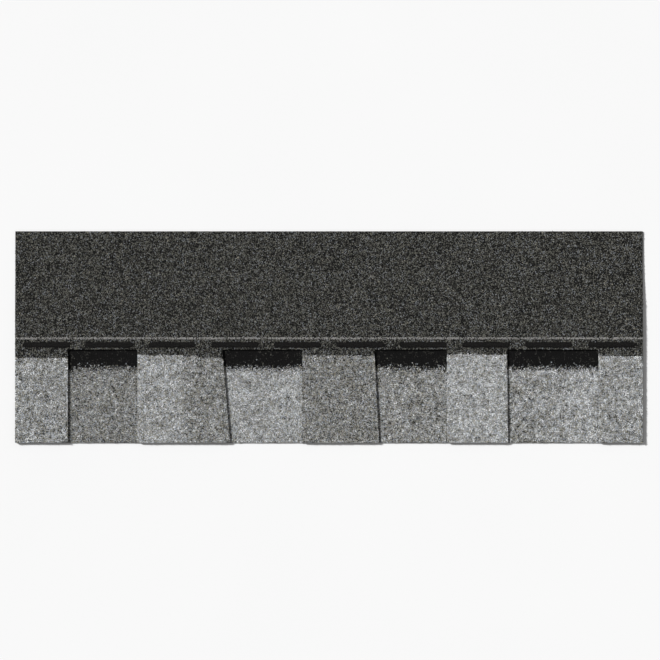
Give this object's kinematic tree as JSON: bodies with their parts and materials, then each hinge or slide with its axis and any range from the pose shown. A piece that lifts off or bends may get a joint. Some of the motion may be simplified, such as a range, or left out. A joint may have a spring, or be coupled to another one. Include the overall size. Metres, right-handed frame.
{
  "type": "laminated asphalt shingle",
  "caption": "Flat laminated roof shingle: a granule-faced top sheet cut into uneven teeth, glued to a backer strip that shows in the cut-outs.",
  "frame": {"origin": "on the floor, below the centre of the sheet", "axes": "+X along the course, +Y up the roof from the butt edge to the top edge, +Z out of the granule face"},
  "size_m": [1, 0.337, 0.0065],
  "materials": {
    "granule_face": "matte",
    "granule_face_backer": "matte",
    "laminating_asphalt": "satin",
    "sealant": "satin",
    "film": "gloss"
  },
  "bodies": {
    "root": {"top_sheet": "granule_face", "backer_strip": "granule_face_backer", "laminating_adhesive": "laminating_asphalt", "sealant_strip": "sealant", "release_film": "film"}
  },
  "joints": []
}
